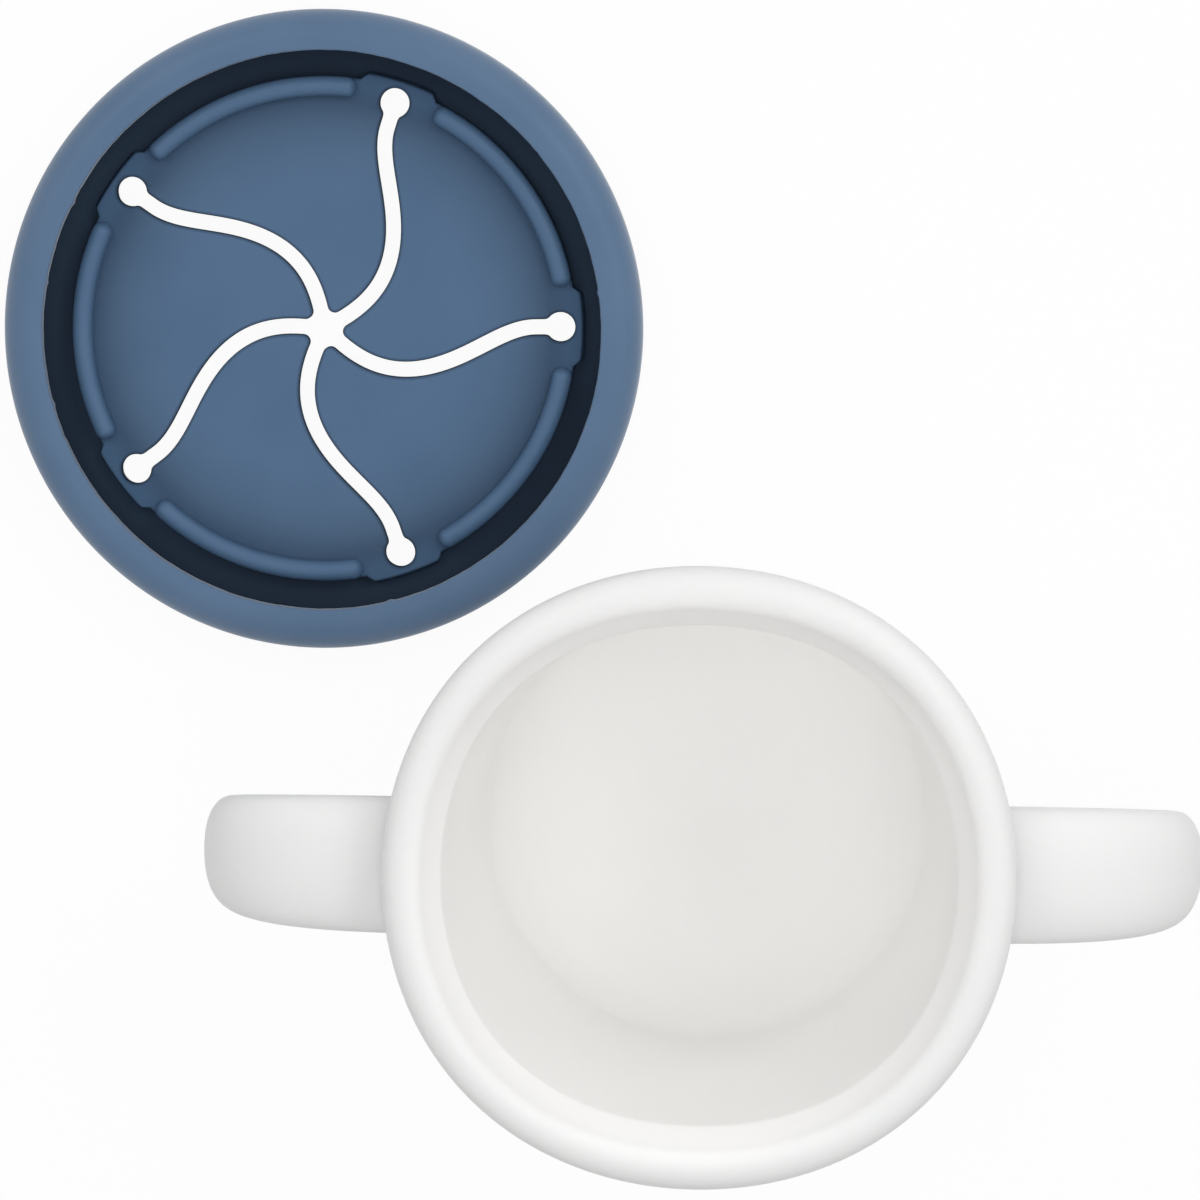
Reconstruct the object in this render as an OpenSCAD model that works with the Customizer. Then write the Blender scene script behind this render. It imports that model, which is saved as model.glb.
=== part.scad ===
// Toddler snack container: a soft cup with two loop handles, and its snack lid.
// The lid is pulled off and lies upside down beside the cup, underside up.
// Millimetres. The origin is the centre of the cup's base, +Z is up and the
// handles lie along X.

/* [Cup] */
// Height of the cup, from its base to the top of the rim
cup_h = 74; // [60:1:95]
// Outside diameter of the rim bead
rim_d = 80; // [70:1:100]
// Outside diameter of the body just above its base
base_d = 66; // [54:1:72]
// Thickness of the side wall
wall_t = 3.2; // [2.4:0.1:4.2]
// Thickness of the floor
floor_t = 3.5; // [2:0.1:6]
// Radius where the inside of the wall runs into the floor
floor_fillet = 7; // [3:0.5:12]
// Radius of the outside edge of the base
base_edge = 4; // [1:0.5:6]

/* [Rim] */
// Height of the rim bead
bead_h = 5.2; // [4.4:0.1:8]
// Radius of the bead's outside, up to the crest of the rim
bead_out = 2.9; // [2:0.1:3.2]
// Radius of the rim's inside, from its crest to the slanted seat
crest_in = 2.4; // [1:0.1:3]
// Width of the rim, from its outside to the crease at the foot of the seat
rim_w = 7.3; // [6.4:0.1:8]
// Depth of the crease below the top of the rim
seat_depth = 5.8; // [4.8:0.1:12]

/* [Handles] */
// How far a handle stands out beyond the rim bead
handle_reach = 24.6; // [18:0.1:34]
// Height of a handle, from the top of its upper arm to the bottom of its lower arm
handle_h = 40; // [32:0.5:46]
// Thickness of a handle
handle_t = 7.6; // [5:0.1:10]
// Width of a handle along its upper arm
handle_w = 17.6; // [12:0.1:24]
// Width of a handle along its lower arm
handle_w_low = 8.6; // [6:0.1:24]

/* [Lid] */
// Clearance round the rim bead in the lid's groove
fit_gap = 0.25; // [0.1:0.05:0.6]
// Thickness of the skirt outside the bead
skirt_t = 2.95; // [2:0.05:4]
// Thickness of the lip that hooks under the bead
lip_t = 2.4; // [1.6:0.1:3.4]
// How far the lip reaches in under the bead
lip_in = 2.55; // [1.2:0.05:2.8]
// Thickness of the crown over the bead
crown_t = 2.5; // [1.8:0.1:4]
// Thickness of the slit membrane
membrane_t = 1.9; // [1.2:0.1:2.4]
// Distance from the outside of the cup's rim in to the membrane's edge
plug_in = 5.8; // [5.6:0.1:7.4]
// How far the membrane's edge stands in over the crown's opening
crown_lap = 1.4; // [0.8:0.1:3]

/* [Slits] */
// Distance from the membrane's edge to the centres of the slits' end holes
hole_inset = 2.2; // [1.8:0.1:5]
// Diameter of the round hole at the outer end of each slit
hole_d = 4; // [3:0.1:5]
// Width of the slits
slit_w = 2.1; // [1.2:0.1:2.8]
// Angle through which each slit swirls on its way to the middle
swirl = 43; // [0:1:60]
// Radius of the petals' tips
tip_r = 1; // [0.4:0.1:1.6]

/* [Ribs] */
// Width of the arc ribs
rib_w = 2.7; // [1.6:0.1:3.2]
// Height of the arc ribs
rib_h = 2; // [1.4:0.1:3.4]
// Angle that each rib covers, end to end
rib_span = 53; // [30:1:56]

/* [Layout] */
// Gap between the rim and the lid beside it, seen from above
lid_gap = 0.9; // [0.5:0.1:60]
// Direction of the lid from the cup's axis, from +X towards +Y
lid_side = 129; // [60:1:150]
// Turn of the lid about its own axis
lid_turn = 1.3; // [-36:0.1:36]

/* [Hidden] */
$fn = 96;

cup_white = [0.93, 0.93, 0.92];
lid_blue = [0.34, 0.44, 0.54];

// Cup, derived
rim_r = rim_d / 2;
base_r = base_d / 2;
bead_under = 1.2;                          // round of the bead's lower outer edge
neck_fillet = 0.8;                         // fillet between the neck and the bead
mouth_r = rim_r - rim_w;                   // inside radius at the foot of the seat
neck_r = mouth_r + wall_t;                 // outside radius of the body below the bead
bead_z = cup_h - bead_h;                   // underside of the bead
seat_z = cup_h - seat_depth;               // foot of the seat
crest = [rim_w - bead_out, seat_depth - crest_in];  // from the crease to the centre of the inside round
crest_turn = atan2(crest[1], crest[0]) + asin(crest_in / norm(crest));  // slant of the seat
crest_steps = 8;
inner_base_r = base_r - wall_t;
inner_fillet = min(floor_fillet, inner_base_r / 2);

// Lid, derived. z = 0 is the crown's outer face, on which the lid lies.
petals = 5;
groove_r = rim_r + fit_gap;                // outer wall of the groove for the bead
groove_h = bead_h + 2 * fit_gap;
lid_r = groove_r + skirt_t;
lid_h = crown_t + groove_h + lip_t;
lip_r = groove_r - lip_in;                 // crisp inner edge of the lip
lip_edge = min(4, skirt_t + lip_in - 1, lid_h / 2);
lip_nick = 0.35;                           // round of the lip's inner edge
crown_edge = min(3.6, skirt_t + 1, lid_h / 2);
crown_inner_edge = min(1, crown_t / 2);
groove_fillet = min(0.8, groove_h / 4);
plug_r = rim_r - plug_in;                  // edge of the membrane, outside of the ribs
crown_in_r = plug_r - crown_lap;
membrane_top = crown_t + membrane_t;
tab_out = 1.2;                             // how far the tabs round the holes stand out
tab_slant = 0.9;                           // how far their edges lean in, along the slanted seat
tab_w = 11.2;
tab_corner = min(1.2, tab_out);
hole_ring_r = plug_r - hole_inset;
hinge_r = hole_ring_r * cos(180 / petals); // from the lid's axis to a petal's root line
hinge_z = crown_t + membrane_t / 2;
root_gap = 0.35;                           // clearance round a petal's rounded root
rib_nose = 0.53;                           // round of a rib's end, as a share of its width
nose_sides = 8;
lid_x = (rim_r + lid_gap + lid_r) * cos(lid_side);
lid_y = (rim_r + lid_gap + lid_r) * sin(lid_side);

// Handles, derived. The lid's lip must pass above the upper arm when it is on.
handle_clear = 0.35;
handle_top = cup_h - (groove_h + lip_t - fit_gap) - handle_clear;
handle_root_x = base_r - 1;                // both arms start inside the wall
handle_a = rim_r + handle_reach - handle_t / 2 - handle_root_x;
handle_b = (handle_h - handle_t) / 2;
handle_mid = handle_top - handle_h / 2;
loop_power = 2.8;                          // squareness of the loop, 2 is an ellipse
section_power = 2.3;                       // squareness of the handle's section
loop_step = 0.004;                         // step for the direction of the loop
loop_rings = 40;
section_sides = 20;

// Points of an arc about (x, y) from angle a0 to a1
function arc(x, y, r, a0, a1, n = 8) =
    [for (i = [0:n]) let (a = a0 + (a1 - a0) * i / n) [x + r * cos(a), y + r * sin(a)]];

// A power that keeps its sign, for superellipses
function spow(v, e) = sign(v) * pow(abs(v), e);

// ---- Cup ----

// Half section of the cup: outside from the base up, over the bead, and down inside
function cup_profile() = concat(
    [[0, 0]],
    arc(base_r - base_edge, base_edge, base_edge, -90, 0),
    arc(neck_r + neck_fillet, bead_z - neck_fillet, neck_fillet, 180, 90, 4),
    arc(rim_r - bead_under, bead_z + bead_under, bead_under, -90, 0, 4),
    arc(rim_r - bead_out, cup_h - bead_out, bead_out, 0, 90),
    arc(rim_r - bead_out, cup_h - crest_in, crest_in,
        90 + crest_turn / crest_steps, 90 + crest_turn, crest_steps - 1),
    [[mouth_r, seat_z]],
    arc(inner_base_r - inner_fillet, floor_t + inner_fillet, inner_fillet, 0, -90),
    [[0, floor_t]]);

module cup_body() {
    color(cup_white)
    rotate_extrude()
        polygon(cup_profile());
}

// ---- Handles ----

// Centre line of the handle's loop; t runs from 0 at the top root to 1 at the lower root
function loop_point(t) = let (a = 90 - 180 * t)
    [handle_root_x + handle_a * spow(cos(a), 2 / loop_power),
     0,
     handle_mid + handle_b * spow(sin(a), 2 / loop_power)];

// Direction along the loop, from two near points, kept level at the two roots
function loop_dir(t) = let (d = loop_point(min(1, t + loop_step)) - loop_point(max(0, t - loop_step)))
    t == 0 ? [1, 0, 0] : t == 1 ? [-1, 0, 0] : d / norm(d);

// The handle narrows evenly from its upper arm down to its lower arm
function loop_width(z) = handle_w + (handle_w_low - handle_w) * (handle_mid + handle_b - z) / (2 * handle_b);

// One ring of the sweep, across the loop at t
function loop_ring(t) = let (p = loop_point(t), d = loop_dir(t), n = [-d[2], 0, d[0]])
    [for (i = [0:section_sides - 1]) let (a = 360 * i / section_sides)
        p + n * handle_t / 2 * spow(cos(a), 2 / section_power)
          + [0, loop_width(p[2]) / 2 * spow(sin(a), 2 / section_power), 0]];

module handle_loop() {
    points = [for (i = [0:loop_rings]) each loop_ring(i / loop_rings)];
    sides = [for (i = [0:loop_rings - 1], j = [0:section_sides - 1])
        let (a = i * section_sides + j,
             b = i * section_sides + (j + 1) % section_sides)
        each [[a, b, b + section_sides], [a, b + section_sides, a + section_sides]]];
    first_cap = [[for (j = [section_sides - 1:-1:0]) j]];
    last_cap = [[for (j = [0:section_sides - 1]) loop_rings * section_sides + j]];
    polyhedron(points, concat(first_cap, sides, last_cap));
}

// The side of the body, which the handles' roots end on
module body_side() {
    translate([0, 0, base_edge])
        cylinder(h = bead_z - neck_fillet - base_edge, r1 = base_r, r2 = neck_r);
}

module handle_right() {
    color(cup_white)
    difference() {
        handle_loop();
        body_side();
    }
}

module handle_left() {
    color(cup_white)
    mirror([1, 0, 0])
    difference() {
        handle_loop();
        body_side();
    }
}

// ---- Lid ----

module at_lid() {
    translate([lid_x, lid_y, 0]) rotate(lid_turn) children();
}

// Half section of the lid's ring: crown on the table, skirt, lip, and the groove inside
function ring_profile() = concat(
    arc(lid_r - crown_edge, crown_edge, crown_edge, -90, 0),
    arc(lid_r - lip_edge, lid_h - lip_edge, lip_edge, 0, 90),
    arc(lip_r + lip_nick, lid_h - lip_nick, lip_nick, 90, 180, 4),
    [[lip_r, lid_h - lip_t]],
    arc(groove_r - groove_fillet, lid_h - lip_t - groove_fillet, groove_fillet, 90, 0, 4),
    arc(groove_r - groove_fillet, crown_t + groove_fillet, groove_fillet, 0, -90, 4),
    [[crown_in_r, crown_t]],
    arc(crown_in_r + crown_inner_edge, crown_inner_edge, crown_inner_edge, 180, 270, 4));

// Turns a child to each of the five slits
module each_slit() {
    for (i = [0:petals - 1]) rotate(360 / petals * i) children();
}

// Rods for the round holes at the slits' outer ends, which are punched right through
module end_holes() {
    each_slit()
    translate([hole_ring_r, 0, -1])
        cylinder(h = lid_h + 1, d = hole_d, $fn = 48);
}

module lid_ring() {
    color(lid_blue)
    at_lid()
    difference() {
        rotate_extrude() polygon(ring_profile());
        end_holes();
    }
}

// Rounded tab that carries the membrane outwards round each end hole
module tab() {
    reach = plug_r + tab_out;
    intersection() {
        circle(reach);
        union() {
            translate([0, -tab_w / 2]) square([reach - tab_corner, tab_w]);
            translate([0, tab_corner - tab_w / 2]) square([reach, tab_w - 2 * tab_corner]);
            for (s = [-1, 1])
                translate([reach - tab_corner, s * (tab_w / 2 - tab_corner)]) circle(tab_corner);
        }
    }
}

// A rod of radius r along the root line of the petal that follows slit 0
module root_rod(r) {
    rotate(180 / petals)
    translate([hinge_r, 0, hinge_z])
    rotate([90, 0, 0])
        cylinder(h = 2 * hole_ring_r * sin(180 / petals), r = r, center = true);
}

module lid_membrane() {
    color(lid_blue)
    at_lid()
    difference() {
        translate([0, 0, crown_t])
        intersection() {
            linear_extrude(membrane_t)
            difference() {
                union() {
                    circle(plug_r);
                    each_slit() tab();
                }
                circle(hole_ring_r, $fn = petals);
            }
            cylinder(h = membrane_t, r1 = plug_r + tab_out, r2 = plug_r + tab_out - tab_slant);
        }
        end_holes();
        each_slit() root_rod(membrane_t / 2 + root_gap);
    }
}

// Outline of a rib's round end at angle a, from its first side to its second
function rib_end(a, mid_r, r, start) =
    [for (i = [0:nose_sides])
        let (b = a + start + 180 * i / nose_sides)
        mid_r * [cos(a), sin(a)] + r * [cos(b), sin(b)]];

// One rib: a part of a round-topped ring, cut off to round ends
module rib() {
    mid_r = plug_r - rib_w / 2;
    nose_r = rib_nose * rib_w;
    turn = rib_span / 2 - asin(nose_r / mid_r);
    rotate(180 / petals)
    intersection() {
        rotate_extrude()
        translate([mid_r, 0])
            polygon(concat([[-rib_w / 2, 0], [rib_w / 2, 0]],
                           arc(0, rib_h - rib_w / 2, rib_w / 2, 0, 180)));
        linear_extrude(rib_h + nose_r)
            polygon(concat([[0, 0]], rib_end(-turn, mid_r, nose_r, -180),
                           [for (a = [-turn, turn]) 2 * plug_r * [cos(a), sin(a)]],
                           rib_end(turn, mid_r, nose_r, 0)));
    }
}

module lid_ribs() {
    color(lid_blue)
    at_lid()
    translate([0, 0, membrane_top])
    each_slit() rib();
}

// ---- Petals ----

swirl_in = 0.7;                            // radius where the swirl is complete
slit_straight = 3.4;                       // straight run of a slit before its end hole
swirl_out = hole_ring_r - slit_straight;
edge_step = 0.05;                          // step for the slope of a slit's centre line
edge_points = 24;                          // points along each side of a petal
tip_points = 6;                            // points round its tip
tip_lead = 0.4;                            // radial gap between the tip's round and the sides
hole_lap = 0.5;                            // how far the sides run on into the end holes

// Turn of a slit's centre line at radius r
function slit_turn(r) = let (s = (min(max(r, swirl_in), swirl_out) - swirl_in) / (swirl_out - swirl_in))
    -swirl / 2 * (1 + cos(180 * s));

function slit_point(r) = r * [cos(slit_turn(r)), sin(slit_turn(r))];

// Point beside the centre line, side = 1 towards +Y, -1 towards -Y
function slit_edge(r, side) = let (d = slit_point(r + edge_step) - slit_point(r - edge_step),
                                   n = [-d[1], d[0]] / norm(d))
    slit_point(r) + side * slit_w / 2 * n;

function turned(p, a) = [p[0] * cos(a) - p[1] * sin(a), p[0] * sin(a) + p[1] * cos(a)];

// Outline of the petal between slit 0 and slit 1. Near the middle two straight slit
// edges meet at the wedge angle; the tip is an arc that touches both.
function petal_outline() = let (
        wedge = 360 / petals,
        apex = slit_w / 2 / sin(wedge / 2),
        tangent = tip_r / tan(wedge / 2),
        tip_angle = wedge / 2 + slit_turn(apex + tangent),
        tip_centre = (apex + tip_r / sin(wedge / 2)) * [cos(tip_angle), sin(tip_angle)],
        start_r = norm([apex + tangent * cos(wedge / 2), tangent * sin(wedge / 2)]) + tip_lead,
        end_r = hole_ring_r - hole_d / 2 + hole_lap,
        radii = [for (i = [0:edge_points]) start_r + (end_r - start_r) * i / edge_points],
        beyond = membrane_t / 2 * [cos(wedge / 2), sin(wedge / 2)])
    concat(
        [[hole_ring_r, 0] + beyond, [hole_ring_r, 0]],
        [for (i = [edge_points:-1:0]) slit_edge(radii[i], 1)],
        [for (i = [0:tip_points]) let (a = tip_angle + 180 + (90 - wedge / 2) * (1 - 2 * i / tip_points))
            tip_centre + tip_r * [cos(a), sin(a)]],
        [for (i = [0:edge_points]) turned(slit_edge(radii[i], -1), wedge)],
        [turned([hole_ring_r, 0], wedge), turned([hole_ring_r, 0], wedge) + beyond]);

// Slab as thick as the membrane, with a half-round edge along the petal's root line
module petal_slab() {
    rotate(180 / petals)
    rotate([90, 0, 0])
    linear_extrude(2 * hole_ring_r, center = true)
        polygon(concat(
            arc(hinge_r, hinge_z, membrane_t / 2, -90, 90),
            [[-hole_ring_r, membrane_top], [-hole_ring_r, crown_t]]));
}

module petal(i) {
    color(lid_blue)
    at_lid()
    rotate(360 / petals * (i - 1))
    difference() {
        intersection() {
            petal_slab();
            linear_extrude(lid_h) polygon(petal_outline());
        }
        end_holes();
    }
}

cup_body();
handle_left();
handle_right();
lid_ring();
lid_membrane();
lid_ribs();
petal(1);  // petal_1
petal(2);  // petal_2
petal(3);  // petal_3
petal(4);  // petal_4
petal(5);  // petal_5
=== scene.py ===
import math
import bmesh
import bpy
import numpy as np
from mathutils import Matrix, Vector
from mathutils.geometry import delaunay_2d_cdt


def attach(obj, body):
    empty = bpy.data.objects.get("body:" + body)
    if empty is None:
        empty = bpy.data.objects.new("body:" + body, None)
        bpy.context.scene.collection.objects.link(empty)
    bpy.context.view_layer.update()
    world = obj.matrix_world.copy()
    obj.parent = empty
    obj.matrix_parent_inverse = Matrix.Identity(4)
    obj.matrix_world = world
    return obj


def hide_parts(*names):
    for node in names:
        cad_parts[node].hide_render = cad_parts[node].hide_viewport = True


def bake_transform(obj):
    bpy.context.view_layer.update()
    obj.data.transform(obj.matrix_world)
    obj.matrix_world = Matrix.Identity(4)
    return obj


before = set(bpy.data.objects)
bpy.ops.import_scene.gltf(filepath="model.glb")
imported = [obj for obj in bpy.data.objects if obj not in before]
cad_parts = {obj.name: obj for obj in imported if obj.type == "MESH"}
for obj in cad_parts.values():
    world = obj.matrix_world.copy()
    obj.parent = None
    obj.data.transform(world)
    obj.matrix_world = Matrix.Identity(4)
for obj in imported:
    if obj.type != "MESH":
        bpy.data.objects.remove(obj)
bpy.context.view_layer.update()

# the object's own sizes are in millimetres, and MM takes them to metres
MM = 0.001

# ---- Camera ----
# Hangs above the table and looks almost straight down into the open cup, with the
# lid to its upper left, through a long lens.
def in_scene(name, data):
    """An object for a mesh, a lamp or a camera, linked to the scene."""
    made = bpy.data.objects.new(name, data)
    bpy.context.scene.collection.objects.link(made)
    return made


eye = Vector((14.06, 107.53, 871.25)) * MM
look = Vector((-0.03365, -0.09052, -1.0)).normalized()
roll = -0.01271
focal_pixels, frame_pixels, sensor_width = 6410.9, 1200, 36.0
right = look.cross(Vector((math.sin(roll), math.cos(roll), 0.0))).normalized()
facing = Matrix((right, right.cross(look), -look)).transposed().to_4x4()
camera = in_scene("table_camera", bpy.data.cameras.new("table_camera"))
camera.matrix_world = Matrix.Translation(eye) @ facing
camera.data.sensor_width = sensor_width
camera.data.lens = sensor_width * focal_pixels / frame_pixels
camera.data.clip_start = 0.02
camera.data.clip_end = 20.0
bpy.context.scene.camera = camera
bpy.context.scene.view_settings.view_transform = "Standard"


# ---- Table and light ----
# A pale table under a dim white surround. Soft square lamps hang all round it, the
# strongest on the far side. All are plain studio light without colour.
def add_node(tree, kind, inputs=None, **settings):
    """A node with its settings, and each input linked to a socket or set to a value."""
    node = tree.nodes.new(kind)
    for name, value in settings.items():
        setattr(node, name, value)
    for socket, source in (inputs or {}).items():
        if isinstance(source, bpy.types.NodeSocket):
            tree.links.new(source, node.inputs[socket])
        else:
            node.inputs[socket].default_value = source
    return node


def maths(tree, operation, a, b=0.0):
    """What a maths node makes of two values or sockets."""
    return add_node(tree, "ShaderNodeMath", {0: a, 1: b}, operation=operation).outputs[0]


def ramp(tree, value, start, end, first, last, kind="LINEAR"):
    """Goes from first, where the value is start, to last, where it is end."""
    inputs = {"Value": value, "From Min": start, "From Max": end, "To Min": first, "To Max": last}
    return add_node(tree, "ShaderNodeMapRange", inputs, interpolation_type=kind).outputs[0]


def seen_white(tree):
    """1 for the rays that look at the background, straight or in a reflection."""
    path = add_node(tree, "ShaderNodeLightPath")
    seen = maths(tree, "MAXIMUM", path.outputs["Is Camera Ray"], path.outputs["Is Glossy Ray"])
    return maths(tree, "MAXIMUM", seen, path.outputs["Is Transmission Ray"])


white = (1.0, 1.0, 1.0, 1.0)
surround, table_white, table_glow = 0.42, 0.86, 0.94
table_half, table_z = 3.0, -0.0001
lamp_size, lamps_aim = 0.55, Vector((-0.01, 0.03, 0.04))

world = bpy.data.worlds.new("studio")
world.use_nodes = True
bpy.context.scene.world = world
background = world.node_tree.nodes["Background"]
background.inputs["Color"].default_value = white
tree = world.node_tree
tree.links.new(ramp(tree, seen_white(tree), 0.0, 1.0, surround, 1.0), background.inputs["Strength"])

table_mat = bpy.data.materials.new("pale_table")
table_mat.use_nodes = True
tree = table_mat.node_tree
tree.nodes.clear()
matt = add_node(tree, "ShaderNodeBsdfDiffuse", {"Color": (table_white,) * 3 + (1.0,)})
glow = add_node(tree, "ShaderNodeEmission", {"Color": white, "Strength": 1.0})
share = maths(tree, "MULTIPLY", seen_white(tree), table_glow)
both = add_node(tree, "ShaderNodeMixShader", {0: share, 1: matt.outputs[0], 2: glow.outputs[0]})
add_node(tree, "ShaderNodeOutputMaterial", {"Surface": both.outputs[0]})

mesh = bpy.data.meshes.new("table")
corners = [(x * table_half, y * table_half, table_z) for x, y in ((-1, -1), (1, -1), (1, 1), (-1, 1))]
mesh.from_pydata(corners, [], [(0, 1, 2, 3)])
mesh.materials.append(table_mat)
table = in_scene("table", mesh)


def soft_lamp(name, place, watts, gleams=True):
    """A square lamp that looks at the pieces; gleams is whether they reflect it."""
    data = bpy.data.lights.new(name, "AREA")
    data.shape, data.size, data.energy = "SQUARE", lamp_size, watts
    lamp = in_scene(name, data)
    aim = lamps_aim - Vector(place)
    lamp.matrix_world = Matrix.Translation(place) @ aim.to_track_quat("-Z", "Y").to_matrix().to_4x4()
    lamp.visible_glossy = gleams


soft_lamp("overhead_lamp", (-0.01, 0.03, 1.34), 2.8, gleams=False)
soft_lamp("far_right_lamp", (0.581, 0.621, 1.036), 3.5)
soft_lamp("far_left_lamp", (-0.601, 0.621, 1.036), 2.8)
soft_lamp("low_far_lamp", (0.601, 1.088, 0.485), 1.1)
soft_lamp("right_lamp", (0.826, 0.030, 1.036), 1.4)
soft_lamp("near_lamp", (-0.01, -0.372, 1.276), 1.9, gleams=False)


# ---- Cup wall ----
# The cup is one thick moulding of white silicone rubber, smooth and matte: a flat base,
# walls that lean out a little, a heavy round bead for a rim and a slanted seat just inside it.
cup_h, rim_r, base_r = 74.0, 40.0, 33.0
wall_t, floor_t, floor_fillet, base_edge = 3.2, 3.5, 7.0, 4.0
bead_h, bead_out, crest_in, rim_w, seat_depth = 5.2, 2.9, 2.4, 7.3, 5.8
bead_under, neck_fillet, crease_soft, profile_step = 1.2, 0.8, 0.5, 3.0
mouth_r = rim_r - rim_w
neck_r = mouth_r + wall_t
bead_z, seat_z = cup_h - bead_h, cup_h - seat_depth
inner_base_r = base_r - wall_t

cup_white = (0.80, 0.80, 0.80, 1.0)
# painted light: the brighter, warmer white painted inside the cup
cup_inside_painted_light = (0.985, 0.976, 0.961, 1.0)
dust_grey = (0.42, 0.40, 0.37, 1.0)
painted_light_fades = (0.0325, 0.0375)


def group_tree(name, inputs, outputs):
    """A shader node group with named sockets; inputs carry their default values."""
    group = bpy.data.node_groups.new(name, "ShaderNodeTree")
    kind = "NodeSocketFloat"
    for label, value in inputs.items():
        group.interface.new_socket(label, in_out="INPUT", socket_type=kind).default_value = value
    for label in outputs:
        group.interface.new_socket(label, in_out="OUTPUT", socket_type=kind)
    given, put = group.nodes.new("NodeGroupInput").outputs, group.nodes.new("NodeGroupOutput").inputs
    return group, given, put


def from_cup_axis(tree):
    """The place's x, y and z, and its distance from the cup's axis."""
    place = add_node(tree, "ShaderNodeTexCoord").outputs["Object"]
    apart = add_node(tree, "ShaderNodeSeparateXYZ", {0: place}).outputs
    flat = add_node(tree, "ShaderNodeCombineXYZ", {0: apart[0], 1: apart[1]}).outputs[0]
    length = add_node(tree, "ShaderNodeVectorMath", {0: flat}, operation="LENGTH")
    return apart, length.outputs["Value"]


# Skin of a spark-eroded mould: a fine even grain, and slow waves where the rubber shrank.
moulded_skin, given, put = group_tree("moulded_skin", {"Grain Size": 0.0002, "Wave Size": 0.02},
                                      ["Grain", "Wave"])
tree = moulded_skin
place = add_node(tree, "ShaderNodeTexCoord").outputs["Object"]
for label, detail in (("Grain", 3.0), ("Wave", 1.0)):
    per_metre = maths(tree, "DIVIDE", 1.0, given[label + " Size"])
    noise = add_node(tree, "ShaderNodeTexNoise",
                     {"Vector": place, "Scale": per_metre, "Detail": detail})
    tree.links.new(noise.outputs[0], put[label])

# Bits of dust that cling to silicone: small spots, in only a share of the cells.
clinging_dust, given, put = group_tree(
    "clinging_dust", {"Spacing": 0.01, "Radius": 0.0001, "Share": 0.3}, ["Dust"])
tree = clinging_dust
place = add_node(tree, "ShaderNodeTexCoord").outputs["Object"]
per_metre = maths(tree, "DIVIDE", 1.0, given["Spacing"])
cells = add_node(tree, "ShaderNodeTexVoronoi", {"Vector": place, "Scale": per_metre}).outputs
near = maths(tree, "MULTIPLY", cells["Distance"], given["Spacing"])
pick = add_node(tree, "ShaderNodeSeparateColor", {0: cells["Color"]}).outputs
size = maths(tree, "MULTIPLY", given["Radius"], maths(tree, "ADD", pick[1], 0.3))
spot = ramp(tree, near, maths(tree, "MULTIPLY", size, 0.6), size, 1.0, 0.0)
kept = maths(tree, "LESS_THAN", pick[0], given["Share"])
tree.links.new(maths(tree, "MULTIPLY", spot, kept), put["Dust"])

# Hair-thin raised line where the two halves of the mould met, in the plane y = 0, up to
# line_top. The outside is what lies beyond the middle of the wall, which leans out.
line_top, mid_wall_r, mid_wall_lean = 0.05, 0.0314, 0.046
mould_line, given, put = group_tree("mould_line", {"Width": 0.0003}, ["Line"])
tree = mould_line
place, from_axis = from_cup_axis(tree)
ridge = ramp(tree, maths(tree, "ABSOLUTE", place[1]), 0.0, given["Width"], 1.0, 0.0, "SMOOTHSTEP")
mid_wall = maths(tree, "ADD", maths(tree, "MULTIPLY", place[2], mid_wall_lean), mid_wall_r)
outside = maths(tree, "GREATER_THAN", from_axis, mid_wall)
drawn = maths(tree, "MULTIPLY", outside, maths(tree, "LESS_THAN", place[2], line_top))
tree.links.new(maths(tree, "MULTIPLY", ridge, drawn), put["Line"])


def grouped(tree, group, **values):
    """What a shader group puts out with these values."""
    node = tree.nodes.new("ShaderNodeGroup")
    node.node_tree = group
    for label, value in values.items():
        node.inputs[label.replace("_", " ")].default_value = value
    return node.outputs


def bump(tree, height, depth, normal=None):
    """Raises the surface by up to depth, on top of an earlier bump if there is one."""
    node = add_node(tree, "ShaderNodeBump", {"Height": height, "Distance": depth, "Strength": 1.0})
    if normal is not None:
        tree.links.new(normal, node.inputs["Normal"])
    return node.outputs["Normal"]


def mix_colour(tree, factor, a, b):
    """Colour a where the factor is 0, colour b where it is 1."""
    return add_node(tree, "ShaderNodeMix", {0: factor, 6: a, 7: b}, data_type="RGBA").outputs[2]


def spread(tree, noise, low, high):
    """Takes a noise, most of which lies between 0.3 and 0.7, to values between low and high."""
    return ramp(tree, noise, 0.3, 0.7, low, high)


white_silicone = bpy.data.materials.new("white_silicone")
white_silicone.use_nodes = True
tree = white_silicone.node_tree
rubber = tree.nodes["Principled BSDF"]
skin = grouped(tree, moulded_skin, Grain_Size=0.00022, Wave_Size=0.016)
dust = grouped(tree, clinging_dust, Spacing=0.011, Radius=0.00016, Share=0.16)
line = grouped(tree, mould_line, Width=0.00022)
# painted light: the inside is painted a brighter, slightly warm white, standing for light that has gone
# round the inside and come back, and the white changes to that over the crest of the rim
_, from_axis = from_cup_axis(tree)
painted_light_share = ramp(tree, from_axis, *painted_light_fades, 1.0, 0.0, "SMOOTHSTEP")
colour = mix_colour(tree, painted_light_share, cup_white, cup_inside_painted_light)
colour = mix_colour(tree, maths(tree, "MULTIPLY", dust["Dust"], 0.7), colour, dust_grey)
tree.links.new(colour, rubber.inputs["Base Color"])
tree.links.new(spread(tree, skin["Wave"], 0.50, 0.58), rubber.inputs["Roughness"])
normal = bump(tree, skin["Grain"], 0.000012)
normal = bump(tree, skin["Wave"], 0.00012, normal)
tree.links.new(bump(tree, line["Line"], 0.00005, normal), rubber.inputs["Normal"])
for label, value in (("IOR", 1.41), ("Subsurface Weight", 0.35), ("Subsurface Scale", 0.004),
                     ("Subsurface Radius", (1.0, 0.95, 0.85))):
    rubber.inputs[label].default_value = value


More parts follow.
